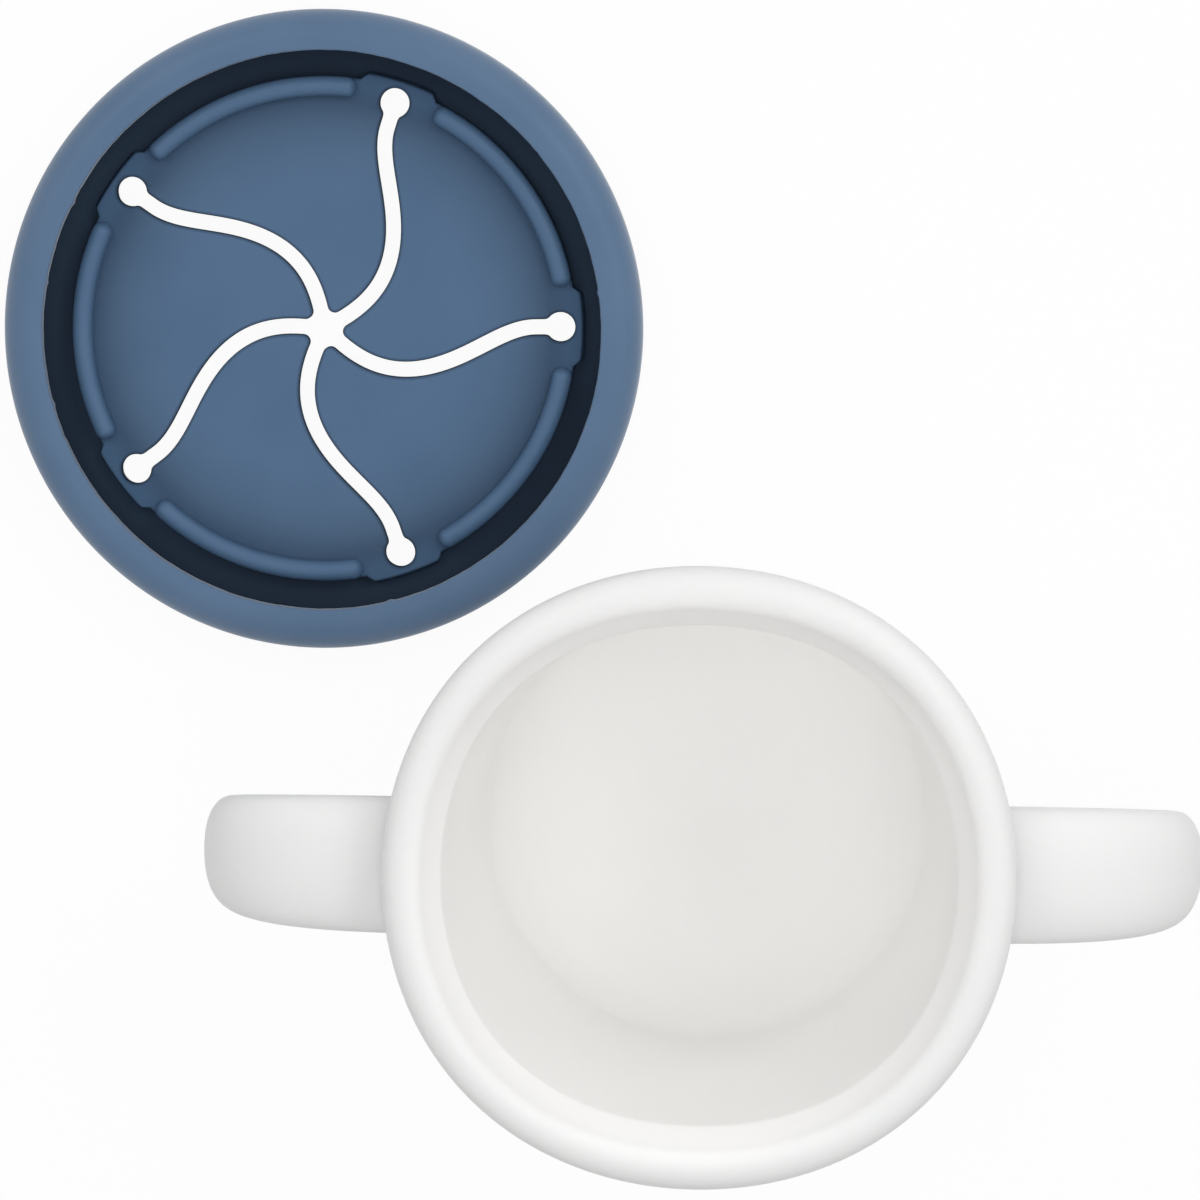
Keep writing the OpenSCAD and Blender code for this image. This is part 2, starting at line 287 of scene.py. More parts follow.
def arc(x, z, r, a0, a1, n):
    """Points on a circle of radius r about (x, z), from a0 to a1 degrees."""
    a = np.radians(np.linspace(a0, a1, n + 1))
    return [(x + r * math.cos(t), z + r * math.sin(t)) for t in a]


def eased(a, corner, b, n=6):
    """A soft corner: a curve from a to b that leans towards the corner."""
    return [tuple((1 - t) ** 2 * np.array(a) + 2 * t * (1 - t) * np.array(corner) + t * t * np.array(b))
            for t in np.linspace(0, 1, n + 1)]


def filled_in(points, step):
    """The same profile with points added, so that no stretch is longer than step."""
    out = [points[0]]
    for a, b in zip(points, points[1:]):
        n = max(1, math.ceil(math.dist(a, b) / step))
        out += [tuple(np.array(a) + (np.array(b) - np.array(a)) * k / n) for k in range(1, n + 1)
                if math.dist(a, b) > 1e-6]
    return out


def geometry_group(name, inputs):
    """A Geometry Nodes group that puts out a mesh; inputs say what each socket takes."""
    tree = bpy.data.node_groups.new(name, "GeometryNodeTree")
    for label, kind in inputs.items():
        tree.interface.new_socket(label, in_out="INPUT", socket_type="NodeSocket" + kind)
    tree.interface.new_socket("Mesh", in_out="OUTPUT", socket_type="NodeSocketGeometry")
    given, put = tree.nodes.new("NodeGroupInput").outputs, tree.nodes.new("NodeGroupOutput").inputs
    return tree, given, put["Mesh"]


def put_out(tree, mesh, material, put):
    """Makes what a group built real, gives it the material and puts it out."""
    real = add_node(tree, "GeometryNodeRealizeInstances", {"Geometry": mesh}).outputs[0]
    coated = add_node(tree, "GeometryNodeSetMaterial", {"Geometry": real, "Material": material})
    tree.links.new(coated.outputs[0], put)


# The profile is turned about the piece's axis in Geometry Nodes. Its y says how far each
# point is out of round: the soft rim is a little long in x (x_stretch) and squared off.
x_stretch = 0.9
turned_profile, given, put = geometry_group("turned_profile", {
    "Profile": "Geometry", "Steps": "Int", "Centre": "Vector", "Material": "Material"})
tree = turned_profile
count = add_node(tree, "GeometryNodeAttributeDomainSize", {0: given["Profile"]}).outputs["Point Count"]
steps_on = maths(tree, "ADD", given["Steps"], 1.0)
grid = add_node(tree, "GeometryNodeMeshGrid", {"Vertices X": steps_on, "Vertices Y": count})
# each point of the grid takes its place on the profile and turns with its step
index = add_node(tree, "GeometryNodeInputIndex").outputs[0]
on_profile = maths(tree, "MODULO", index, count)
step = maths(tree, "FLOOR", maths(tree, "DIVIDE", maths(tree, "ADD", index, 0.5), count))
position = add_node(tree, "GeometryNodeInputPosition").outputs[0]
sample = add_node(tree, "GeometryNodeSampleIndex", {"Geometry": given["Profile"]},
                  data_type="FLOAT_VECTOR")
tree.links.new(position, sample.inputs["Value"])
tree.links.new(on_profile, sample.inputs["Index"])
point = add_node(tree, "ShaderNodeSeparateXYZ", {0: sample.outputs[0]}).outputs
angle = maths(tree, "MULTIPLY", maths(tree, "DIVIDE", step, given["Steps"]), 2 * math.pi)
long = maths(tree, "MULTIPLY", maths(tree, "COSINE", maths(tree, "MULTIPLY", angle, 2.0)), x_stretch)
square = maths(tree, "COSINE", maths(tree, "MULTIPLY", angle, 4.0))
uneven = maths(tree, "MULTIPLY", maths(tree, "SUBTRACT", long, square), point[1])
radius = maths(tree, "ADD", point[0], uneven)
x = maths(tree, "MULTIPLY", radius, maths(tree, "COSINE", angle))
y = maths(tree, "MULTIPLY", radius, maths(tree, "SINE", angle))
turned = add_node(tree, "ShaderNodeCombineXYZ", {0: x, 1: y, 2: point[2]}).outputs[0]
moved = add_node(tree, "ShaderNodeVectorMath", {0: turned, 1: given["Centre"]}, operation="ADD")
shaped = add_node(tree, "GeometryNodeSetPosition",
                  {"Geometry": grid.outputs["Mesh"], "Position": moved.outputs[0]})
closed = add_node(tree, "GeometryNodeMergeByDistance",
                  {"Geometry": shaped.outputs[0], "Distance": 0.000001})
put_out(tree, closed.outputs[0], given["Material"], put)


def grown(name, points, edges, group, **values):
    """Runs a Geometry Nodes group on some points and returns the plain mesh object."""
    seed_mesh = bpy.data.meshes.new(name + "_seed")
    seed_mesh.from_pydata(points, edges, [])
    seed = in_scene(name + "_seed", seed_mesh)
    modifier = seed.modifiers.new("grow", "NODES")
    modifier.node_group = group
    for item in group.interface.items_tree:
        label = item.name.replace(" ", "_")
        if item.in_out == "INPUT" and label in values:
            modifier[item.identifier] = values[label]
    bpy.context.view_layer.update()
    graph = bpy.context.evaluated_depsgraph_get()
    made = bpy.data.meshes.new_from_object(seed.evaluated_get(graph), depsgraph=graph)
    bpy.data.objects.remove(seed)
    made.name = name
    return finish_mesh(in_scene(name, made))


def finish_mesh(piece, sharp=45.0):
    """Faces outwards, smooth, with edges kept where the surface really turns."""
    work = bmesh.new()
    work.from_mesh(piece.data)
    bmesh.ops.remove_doubles(work, verts=work.verts, dist=1e-7)
    bmesh.ops.recalc_face_normals(work, faces=work.faces)
    work.to_mesh(piece.data)
    work.free()
    piece.data.shade_smooth()
    piece.data.set_sharp_from_angle(angle=math.radians(sharp))
    return piece


# the slanted seat runs from the crease straight up to where it touches the round crest
crease = np.array((mouth_r, seat_z))
crest = np.array((rim_w - bead_out, seat_depth - crest_in))
tilt = math.atan2(crest[1], crest[0]) + math.asin(crest_in / np.linalg.norm(crest))
slope = np.array((math.cos(tilt), math.sin(tilt)))
lean = np.array((inner_base_r - mouth_r, floor_t + floor_fillet - seat_z))
lean /= np.linalg.norm(lean)
outside = filled_in(
    [(0.0, 0.0)]
    + arc(base_r - base_edge, base_edge, base_edge, -90, 0, 12)
    + arc(neck_r + neck_fillet, bead_z - neck_fillet, neck_fillet, 180, 90, 6)
    + arc(rim_r - bead_under, bead_z + bead_under, bead_under, -90, 0, 8)
    + arc(rim_r - bead_out, cup_h - bead_out, bead_out, 0, 87, 16), profile_step)
inside_wall = filled_in(
    arc(rim_r - bead_out, cup_h - crest_in, crest_in, 90, 90 + math.degrees(tilt), 12)
    + eased(crease + crease_soft * slope, crease, crease + crease_soft * lean)
    + arc(inner_base_r - floor_fillet, floor_t + floor_fillet, floor_fillet, 0, -90, 16)
    + [(0.0, floor_t)], profile_step)
rim_wobble, crease_wobble, firm_below = 0.30, 0.54, 10.0
cup_profile = []
for wobble, points in ((rim_wobble, outside), (crease_wobble, inside_wall)):
    for x, z in points:
        inner = np.clip((rim_r - bead_out - x) / (rim_w - bead_out), 0, 1)
        rise = max(0.0, (z - firm_below) / (cup_h - firm_below)) ** 2
        cup_profile.append((x * MM, (rim_wobble + (wobble - rim_wobble) * inner) * rise * MM, z * MM))
cup_wall = grown("cup_wall", cup_profile, [(i, i + 1) for i in range(len(cup_profile) - 1)],
                 turned_profile, Steps=240, Centre=(0.0, 0.0, 0.0), Material=white_silicone)
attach(cup_wall, "cup")
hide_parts("cup_body")


# ---- Handles ----
# Two solid loops, moulded in one with the wall and flared where they run into it. Each is
# broad and flattened like a strap on top, and narrows evenly down to its lower arm.
handle_reach, handle_h, handle_t, handle_w, handle_w_low = 24.6, 40.0, 7.6, 17.6, 8.6
handle_root_x = base_r - 1
handle_a = rim_r + handle_reach - handle_t / 2 - handle_root_x
handle_b = (handle_h - handle_t) / 2
handle_top = 65.8
handle_mid = handle_top - handle_h / 2
loop_power, section_power = 2.8, 2.3
root_flare, root_run, upright_run = 1.8, 7.0, 0.5


def power(v, e):
    """v to the power e, with the sign of v."""
    return np.sign(v) * np.abs(v) ** e


def loop_centre(t):
    """The middle of the loop's bar, x and z, from its upper end at t = 0 to its lower at 1."""
    a = math.radians(90 - 180 * t)
    return np.array((handle_root_x + handle_a * power(math.cos(a), 2 / loop_power),
                     handle_mid + handle_b * power(math.sin(a), 2 / loop_power)))


def wall_r(z):
    """Outside radius of the wall at height z."""
    up = np.clip((z - base_edge) / (bead_z - neck_fillet - base_edge), 0, 1)
    return base_r + (neck_r - base_r) * up


def from_wall(t):
    """How far the middle of the bar stands off the wall."""
    x, z = loop_centre(t)
    return x - wall_r(z)


def t_at(distance, low, high):
    """The place on the loop whose centre stands this far off the wall."""
    for _ in range(60):
        middle = (low + high) / 2
        if (from_wall(middle) < distance) == (from_wall(low) < from_wall(high)):
            low = middle
        else:
            high = middle
    return (low + high) / 2


# rings where the loop runs into the wall, at these distances off it
off_wall = [-0.6, -0.05, 0.0, 0.05, 0.12, 0.22, 0.36, 0.55, 0.8, 1.1, 1.45, 1.8, 2.3, 3.0, 4.0,
            5.2, 6.6, 8.2]
upper = [t_at(d, 0.0, 0.4) for d in off_wall]
lower = [t_at(d, 0.6, 1.0) for d in reversed(off_wall)]
# rings on the free part of the loop, evenly spaced along its length
fine = np.linspace(upper[-1], lower[0], 2000)
track = np.array([loop_centre(t) for t in fine])
length = np.concatenate(([0], np.cumsum(np.linalg.norm(np.diff(track, axis=0), axis=1))))
free = np.interp(np.linspace(0, length[-1], 92)[1:-1], length, fine)
n_around = 56
around = np.radians(np.arange(n_around) * 360 / n_around)


def ring_faces(first, count, n):
    """Faces between count rings of n points each, which begin at the point first."""
    return [(first + i * n + j, first + i * n + (j + 1) % n,
             first + (i + 1) * n + (j + 1) % n, first + (i + 1) * n + j)
            for i in range(count - 1) for j in range(n)]


def handle_ring(t):
    """The points round the bar at t. By the wall they flare and follow its round side."""
    centre = loop_centre(t)
    step = 0.0015
    along = loop_centre(min(1, t + step)) - loop_centre(max(0, t - step))
    along /= np.linalg.norm(along)
    if from_wall(t) < upright_run:
        along = np.array((1.0 if t < 0.5 else -1.0, 0.0))
    out = np.array((-along[1], along[0]))
    down = (handle_mid + handle_b - centre[1]) / (2 * handle_b)
    width = handle_w + (handle_w_low - handle_w) * down
    side = power(np.sin(around), 2 / section_power)
    face = power(np.cos(around), 2 / section_power)
    s = np.clip(from_wall(t), 0, root_flare)
    flare = root_flare - math.sqrt(root_flare ** 2 - (root_flare - s) ** 2)
    points = np.stack((centre[0] + out[0] * face * (handle_t / 2 + flare),
                       side * (width / 2 + flare),
                       centre[1] + out[1] * face * (handle_t / 2 + flare)), axis=1)
    m = np.clip(from_wall(t) / root_run, 0, 1)
    m = m * m * (3 - 2 * m)
    here = np.sqrt(np.maximum(wall_r(points[:, 2]) ** 2 - points[:, 1] ** 2, 0))
    points[:, 0] += (here - wall_r(centre[1])) * (1 - m)
    return points


rings = np.array([handle_ring(t) for t in [*upper, *free, *lower]])
faces = ring_faces(0, len(rings), n_around)
last = (len(rings) - 1) * n_around
faces += [tuple(range(n_around)), tuple(range(last, last + n_around))]
for side, sign in (("right", 1), ("left", -1)):
    name = "cup_handle_" + side
    verts = rings.reshape(-1, 3) * (sign * MM, MM, MM)
    mesh = bpy.data.meshes.new(name)
    mesh.from_pydata(verts.tolist(), [], faces)
    mesh.materials.append(white_silicone)
    handle = finish_mesh(in_scene(name, mesh), 60.0)
    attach(handle, "cup")
    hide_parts("handle_" + side)


# ---- Lid ring ----
# The lid is a separate moulding of slate-blue silicone and lies with its top on the table.
# Its thick rim is hollow: a deep groove takes the cup's bead, and a thin lip hooks under it.
fit_gap, skirt_t, lip_t, lip_in, crown_t = 0.25, 2.95, 2.4, 2.55, 2.5
membrane_t, plug_in, crown_lap = 1.9, 5.8, 1.4
groove_r = rim_r + fit_gap
groove_h = bead_h + 2 * fit_gap
lid_r = groove_r + skirt_t
lid_h = crown_t + groove_h + lip_t
lip_r = groove_r - lip_in
lip_edge, lip_nick, lip_under, groove_fillet = 4.0, 0.22, 0.3, 0.8
crown_edge, crown_inner_edge, ring_step = 3.6, 1.0, 2.5
plug_r = rim_r - plug_in
crown_in_r = plug_r - crown_lap
membrane_top = crown_t + membrane_t
lid_gap = 0.9
lid_away = rim_r + lid_gap + lid_r
lid_side, lid_turn = math.radians(129), math.radians(1.3)
lid_centre = Vector((lid_away * math.cos(lid_side), lid_away * math.sin(lid_side), 0)) * MM

slate = (0.070, 0.130, 0.225, 1.0)
slate_pale = (0.077, 0.139, 0.237, 1.0)
# painted light: the rim is the same rubber as the sheet, painted a paler slate for the extra light it
# catches
rim_slate_painted_light = (0.084, 0.147, 0.246, 1.0)
rim_slate_pale_painted_light = (0.092, 0.157, 0.259, 1.0)
# painted shade: the dark slate that darkens the groove, the sheet by the ribs and the slit walls
slate_painted_shade = (0.012, 0.020, 0.034, 1.0)
lint_pale = (0.32, 0.38, 0.46, 1.0)
rim_sheen, groove_painted_shade = 0.35, 0.85


def slate_silicone(name, deep, pale, sheen):
    """Slate-blue rubber between two tones; sheen is the soft light on edges that turn away."""
    material = bpy.data.materials.new(name)
    material.use_nodes = True
    tree = material.node_tree
    rubber = tree.nodes["Principled BSDF"]
    skin = grouped(tree, moulded_skin, Grain_Size=0.00025, Wave_Size=0.011)
    dust = grouped(tree, clinging_dust, Spacing=0.006, Radius=0.00009, Share=0.3)
    cut, sheltered, shade = [add_node(tree, "ShaderNodeAttribute", attribute_name=label).outputs["Fac"]
                             for label in ("cut_edge", "sheltered", "shade")]
    colour = mix_colour(tree, spread(tree, skin["Wave"], 0.0, 1.0), deep, pale)
    colour = mix_colour(tree, maths(tree, "MULTIPLY", dust["Dust"], 0.35), colour, lint_pale)
    # painted shade: towards this dark slate in the groove, by the ribs and on the slit walls
    colour = mix_colour(tree, shade, colour, slate_painted_shade)
    tree.links.new(mix_colour(tree, cut, colour, slate_painted_shade), rubber.inputs["Base Color"])
    tree.links.new(spread(tree, skin["Grain"], 0.36, 0.46), rubber.inputs["Roughness"])
    normal = bump(tree, skin["Grain"], 0.000014)
    tree.links.new(bump(tree, skin["Wave"], 0.00005, normal), rubber.inputs["Normal"])
    # the gloss is a thin coat, so that it can fade where the lid shelters itself
    tree.links.new(ramp(tree, sheltered, 0.0, 1.0, 0.5, 0.0), rubber.inputs["Coat Weight"])
    for label, value in (("Coat Roughness", 0.42), ("Coat IOR", 1.41), ("IOR", 1.41),
                         ("Specular IOR Level", 0.0), ("Sheen Weight", sheen),
                         ("Sheen Roughness", 0.5)):
        rubber.inputs[label].default_value = value
    return material


def vertex_places(piece):
    """The places of a piece's points, in rows."""
    co = np.empty(len(piece.data.vertices) * 3)
    piece.data.vertices.foreach_get("co", co)
    return co.reshape(-1, 3)


def mark(mesh, label, values):
    """Gives each point a value that the material reads."""
    data = mesh.attributes.new(label, "FLOAT", "POINT").data
    data.foreach_set("value", np.asarray(values, np.float32))


# painted light: the rim's material takes the paler slate
rim_silicone_painted_light = slate_silicone("slate_silicone_rim", rim_slate_painted_light, rim_slate_pale_painted_light, rim_sheen)

ring_profile = filled_in(
    arc(lid_r - crown_edge, crown_edge, crown_edge, -90, 0, 14)
    + arc(lid_r - lip_edge, lid_h - lip_edge, lip_edge, 0, 90, 18)
    + arc(lip_r + lip_nick, lid_h - lip_nick, lip_nick, 90, 180, 4)
    + [(lip_r, lid_h - lip_t + lip_under)]
    + arc(lip_r + lip_under, lid_h - lip_t + lip_under, lip_under, 180, 270, 3)
    + arc(groove_r - groove_fillet, lid_h - lip_t - groove_fillet, groove_fillet, 90, 0, 5)
    + arc(groove_r - groove_fillet, crown_t + groove_fillet, groove_fillet, 0, -90, 5)
    + [(crown_in_r, crown_t)]
    + arc(crown_in_r + crown_inner_edge, crown_inner_edge, crown_inner_edge, 180, 270, 6), ring_step)
ring_profile.append(ring_profile[0])
lid_ring = grown("lid_rim", [(x * MM, 0, z * MM) for x, z in ring_profile],
                 [(i, i + 1) for i in range(len(ring_profile) - 1)], turned_profile,
                 Steps=600, Centre=tuple(lid_centre), Material=rim_silicone_painted_light)

# The lip's inner edge was trimmed: it wanders by a few hundredths of a millimetre, with
# small tags of flash and nicks left at a few places. Each tag says where it is in degrees,
# how far in it sticks and how wide it is; a wave says how often it comes round, how far it
# goes and where it starts.
tags = [(153.6, 0.20, 1.0), (196.1, 0.16, 0.8), (8.6, 0.18, 0.7), (-75.3, 0.22, 0.9),
        (171.0, 0.10, 0.5), (203.0, -0.10, 0.6), (262.0, 0.08, 0.5), (40.0, -0.07, 0.6),
        (100.0, 0.07, 0.5)]
waves = ((7, 0.022, 0.4), (19, 0.016, 2.1), (43, 0.012, 4.0), (97, 0.009, 1.0))
trim_run = 0.5
co = vertex_places(lid_ring)
flat = co[:, :2] - np.array(lid_centre)[:2]
out = np.linalg.norm(flat, axis=1)
turn = np.arctan2(flat[:, 1], flat[:, 0])
wander = sum(size * np.sin(n * turn + start) for n, size, start in waves)
for degrees, size, wide in tags:
    away = (turn - math.radians(degrees) + math.pi) % (2 * math.pi) - math.pi
    wander = wander + size * np.exp(-(away * lip_r / (wide / 2)) ** 2)
near_edge = np.clip(1 - (out / MM - lip_r) / trim_run, 0, 1) * (co[:, 2] / MM > lid_h - lip_t - 0.1)
co[:, :2] -= flat / out[:, None] * (wander * near_edge * MM)[:, None]
lid_ring.data.vertices.foreach_set("co", co.ravel())
lid_ring.data.update()

# The round holes in which the slits end are punched right through, crown and all.
petals = 5
wedge = 2 * math.pi / petals
hole_ring_r, hole_r, punch_r = plug_r - 2.2, 2.0, 2.25
punches = bmesh.new()
for k in range(petals):
    a = k * wedge + lid_turn
    away = hole_ring_r * MM * Vector((math.cos(a), math.sin(a), 0))
    bmesh.ops.create_cone(punches, cap_ends=True, segments=96, radius1=punch_r * MM,
                          radius2=punch_r * MM, depth=2 * lid_h * MM,
                          matrix=Matrix.Translation(lid_centre + away))
mesh = bpy.data.meshes.new("punches")
punches.to_mesh(mesh)
punches.free()
punch = in_scene("punches", mesh)
holes_cut = lid_ring.modifiers.new("holes", "BOOLEAN")
holes_cut.operation, holes_cut.solver, holes_cut.object = "DIFFERENCE", "EXACT", punch
bpy.context.view_layer.update()
graph = bpy.context.evaluated_depsgraph_get()
lid_ring.data = bpy.data.meshes.new_from_object(lid_ring.evaluated_get(graph), depsgraph=graph)
lid_ring.modifiers.clear()
bpy.data.objects.remove(punch)
finish_mesh(lid_ring)

# Little light gets out of the groove again, so its faces are marked as sheltered, and painted shade
# makes their colour darker.
co = vertex_places(lid_ring)
out = np.linalg.norm(co[:, :2] - np.array(lid_centre)[:2], axis=1) / MM
up = co[:, 2] / MM
below_lip = np.clip((lid_h - lip_t + 0.1 - up) / 0.6, 0, 1)
groove_shade_mask = below_lip * (up > crown_t - 0.01) * (out < groove_r + 0.01)
mark(lid_ring.data, "sheltered", groove_shade_mask)
mark(lid_ring.data, "shade", groove_painted_shade * groove_shade_mask)
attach(lid_ring, "lid")
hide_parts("lid_ring")


# ---- Lid membrane ----
# The thin sheet across the lid, in one with the ring. Small tabs carry it out between the
# ribs, round the five punched holes in which the slits end.
slit_w, swirl, tip_r = 2.1, math.radians(43), 1.0
swirl_in, swirl_out = 0.7, hole_ring_r - 3.4
tab_out, tab_half, tab_corner = 1.2, 5.6, 1.4
edge_round, edge_round_below, tab_slant = 0.28, 0.28 * 0.7, 0.45
# the flat faces begin this far in from the edges, on a grid that keeps clear of them
flat_margin, grid_step, grid_row, grid_clear = 0.18, 1.1, 0.95, 0.35
# the membrane has each hole's edge up to this many degrees from its outermost point
hole_sweep = 126
# painted shade: how dark the cut faces are painted, and how dark where they round over into the upper
# side
cut_painted_shade, cut_painted_shade_top, top_from = 0.75, 0.35, 0.9
# the closer to the ribs and the ring, the less light the sheet gets, so its gloss fades and painted
# shade darkens its colour there
shelter_radii = (20.0, 24.0, 27.0, 29.0, 31.0, 33.5)
shelter_depths = (0.0, 0.0, 0.0, 0.1, 0.6, 1.0)
painted_shade_depths = (0.0, 0.08, 0.2, 0.36, 0.5, 0.25)
blue_silicone = slate_silicone("slate_silicone_sheet", slate, slate_pale, 0.0)


def toward(a):
    """The unit vector at angle a, or a row for each of several angles."""
    return np.stack((np.cos(a), np.sin(a)), axis=-1)


holes = [hole_ring_r * toward(k * wedge) for k in range(petals)]


def chord_points(k):
    """Points on the line between two holes, along which a petal meets the rest."""
    a, b = holes[k % petals], holes[(k + 1) % petals]
    u = (b - a) / np.linalg.norm(b - a)
    return np.linspace(a + hole_r * u, b - hole_r * u, 30)


def inside(outline, p):
    """Whether p lies inside a closed outline."""
    x, y = outline[:, 0], outline[:, 1]
    x2, y2 = np.roll(x, -1), np.roll(y, -1)
    crossing = (y > p[1]) != (y2 > p[1])
    at = x + (p[1] - y) / np.where(crossing, y2 - y, 1.0) * (x2 - x)
    return np.count_nonzero(crossing & (at > p[0])) % 2 == 1


def grid_inside(outline, bounds):
    """A staggered grid of points between the outlines."""
    low, high = outline.min(axis=0), outline.max(axis=0)
    seeds = [(x + (grid_step / 2 if row % 2 else 0), y)
             for row, y in enumerate(np.arange(low[1], high[1], grid_row))
             for x in np.arange(low[0], high[0], grid_step)]
    return np.array([s for s in seeds if sum(inside(b, s) for b in bounds) % 2
                     and np.min(np.sum((outline - s) ** 2, axis=1)) > grid_clear])


def sheet_piece(name, loops):
    """A flat piece between closed outlines, as thick as the membrane. Each outline gives its
    points, the way in from the edge, how far the edge leans in, and 1 where it is rounded.
    It becomes a wall of rings from the lower side to the upper, and flat faces close both."""
    levels = ([(a, False) for a in np.radians(np.linspace(-90, 0, 4))]
              + [(a, True) for a in np.radians(np.linspace(0, 90, 7))])
    verts, faces, rims, wall_painted_shade = [], [], [], []
    for points, inward, slant, rounded in loops:
        n, first = len(points), len(verts)
        for a, top in levels:
            r = edge_round if top else edge_round_below
            z = (membrane_top - r if top else crown_t + r) + r * math.sin(a)
            in_by = rounded * r * (1 - math.cos(a)) + slant * (z - crown_t) / membrane_t
            verts += [(x, y, z) for x, y in points + inward * in_by[:, None]]
            # the leaning edges of the tabs are moulded and not cut, and get none of the painted shade
            wall_painted_shade += list(rounded * (cut_painted_shade if a < top_from else cut_painted_shade_top) * (slant < 0.1))
        # just inside the edge, above and below, a ring where the flat face begins
        for end, r, z in ((len(levels) - 1, edge_round + slant, membrane_top),
                          (0, edge_round_below, crown_t)):
            hold = points + inward * (rounded * r + flat_margin)[:, None]
            rims.append((first + end * n, len(verts), n))
            verts += [(x, y, z) for x, y in hold]
            wall_painted_shade += [0.0] * n
        faces += ring_faces(first, len(levels), n)
        for edge, hold, m in rims[-2:]:
            faces += [(edge + j, edge + (j + 1) % m, hold + (j + 1) % m, hold + j)
                      for j in range(m)]
    # flat faces: a triangle mesh that keeps to the inner outlines, the same above and below
    for side, z in ((0, membrane_top), (1, crown_t)):
        ids = [hold + j for _, hold, m in rims[side::2] for j in range(m)]
        edges, start = [], 0
        for _, _, m in rims[side::2]:
            edges += [(start + j, start + (j + 1) % m) for j in range(m)]
            start += m
        outline = np.array([verts[i][:2] for i in ids])
        bounds = [np.array([verts[hold + j][:2] for j in range(m)]) for _, hold, m in rims[side::2]]
        flat = [Vector(p) for p in np.vstack((outline, grid_inside(outline, bounds)))]
        made, _, triangles, origin, _, _ = delaunay_2d_cdt(flat, edges, [], 0, 1e-7)
        index = []
        for p, source in zip(made, origin):
            if source and source[0] < len(ids):
                index.append(ids[source[0]])
            else:
                index.append(len(verts))
                verts.append((p[0], p[1], z))
                wall_painted_shade.append(0.0)
        for triangle in triangles:
            middle = sum((np.array(made[i]) for i in triangle), np.zeros(2)) / 3
            if sum(inside(b, middle) for b in bounds) % 2:
                faces.append(tuple(index[i] for i in triangle))
    spun = Matrix.Translation(lid_centre) @ Matrix.Rotation(lid_turn, 4, "Z") @ Matrix.Scale(MM, 4)
    mesh = bpy.data.meshes.new(name)
    mesh.from_pydata([spun @ Vector(v) for v in verts], [], faces)
    out = np.linalg.norm(np.array(verts)[:, :2], axis=1)
    # painted shade on the slit walls and their roundings
    mark(mesh, "cut_edge", wall_painted_shade)
    mark(mesh, "sheltered", np.maximum(np.interp(out, shelter_radii, shelter_depths), wall_painted_shade))
    # painted shade on the sheet near the ribs and the ring
    mark(mesh, "shade", np.interp(out, shelter_radii, painted_shade_depths))
    mesh.materials.append(blue_silicone)
    return finish_mesh(in_scene(name, mesh), 50.0)


# the outer edge, which a smooth tab carries out at each hole
theta = np.linspace(0, 2 * math.pi, 721)[:-1]
from_tab = np.abs((theta + wedge / 2) % wedge - wedge / 2) * plug_r
tab = np.clip((tab_half - from_tab) / tab_corner, 0, 1)
outer_r = plug_r + tab_out * tab * tab * (3 - 2 * tab)
outer = outer_r[:, None] * toward(theta)
# the inner edge: out round each hole, then straight along the next petal's hinge line
inner, inner_in, inner_round = [], [], []
for k in range(petals):
    ways = toward(k * wedge + np.radians(np.linspace(-hole_sweep, hole_sweep, 64)))
    inner += list(holes[k] + hole_r * ways)
    inner_in += list(ways)
    inner_round += [1.0] * len(ways)
    chord = chord_points(k)[1:-1]
    inner += list(chord)
    inner_in += [toward((k + 0.5) * wedge)] * len(chord)
    inner_round += [0.0] * len(chord)
inner, inner_in, inner_round = np.array(inner), np.array(inner_in), np.array(inner_round)

membrane = sheet_piece("lid_membrane_sheet",
                       [(outer, -toward(theta), tab_slant * tab, np.ones(len(outer))),
                        (inner[::-1], inner_in[::-1], np.zeros(len(inner)), inner_round[::-1])])
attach(membrane, "lid")
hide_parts("lid_membrane")


# ---- Petals ----
# Five curved slits part the membrane into soft petals, which give way to a small hand and spring back.
# Each is hinged on the line between its two holes and has a blunt round tip.
def slit_turn(r):
    """How far the middle of slit 0 has swung round at radius r."""
    s = (np.clip(r, swirl_in, swirl_out) - swirl_in) / (swirl_out - swirl_in)
    return -swirl / 2 * (1 + np.cos(math.pi * s))


def slit_point(r):
    return r * toward(slit_turn(r))


def slit_edge(r, side):
    """The point at radius r on one side of slit 0; side is 1 or -1."""
    d = slit_point(r + 0.05) - slit_point(r - 0.05)
    return slit_point(r) + side * slit_w / 2 * np.array((-d[1], d[0])) / np.linalg.norm(d)


def swung(p, a):
    """The point p turned by a about the lid's middle."""
    c, s = math.cos(a), math.sin(a)
    return np.array((p[0] * c - p[1] * s, p[0] * s + p[1] * c))


# the soft corner between slit and hole: how far before the hole it leaves the slit, where
# it ends on the hole in degrees, and how far from the round tip the slit's edge begins
corner_long, corner_short, corner_end, tip_clear = 0.75, 0.6, 136, 0.4


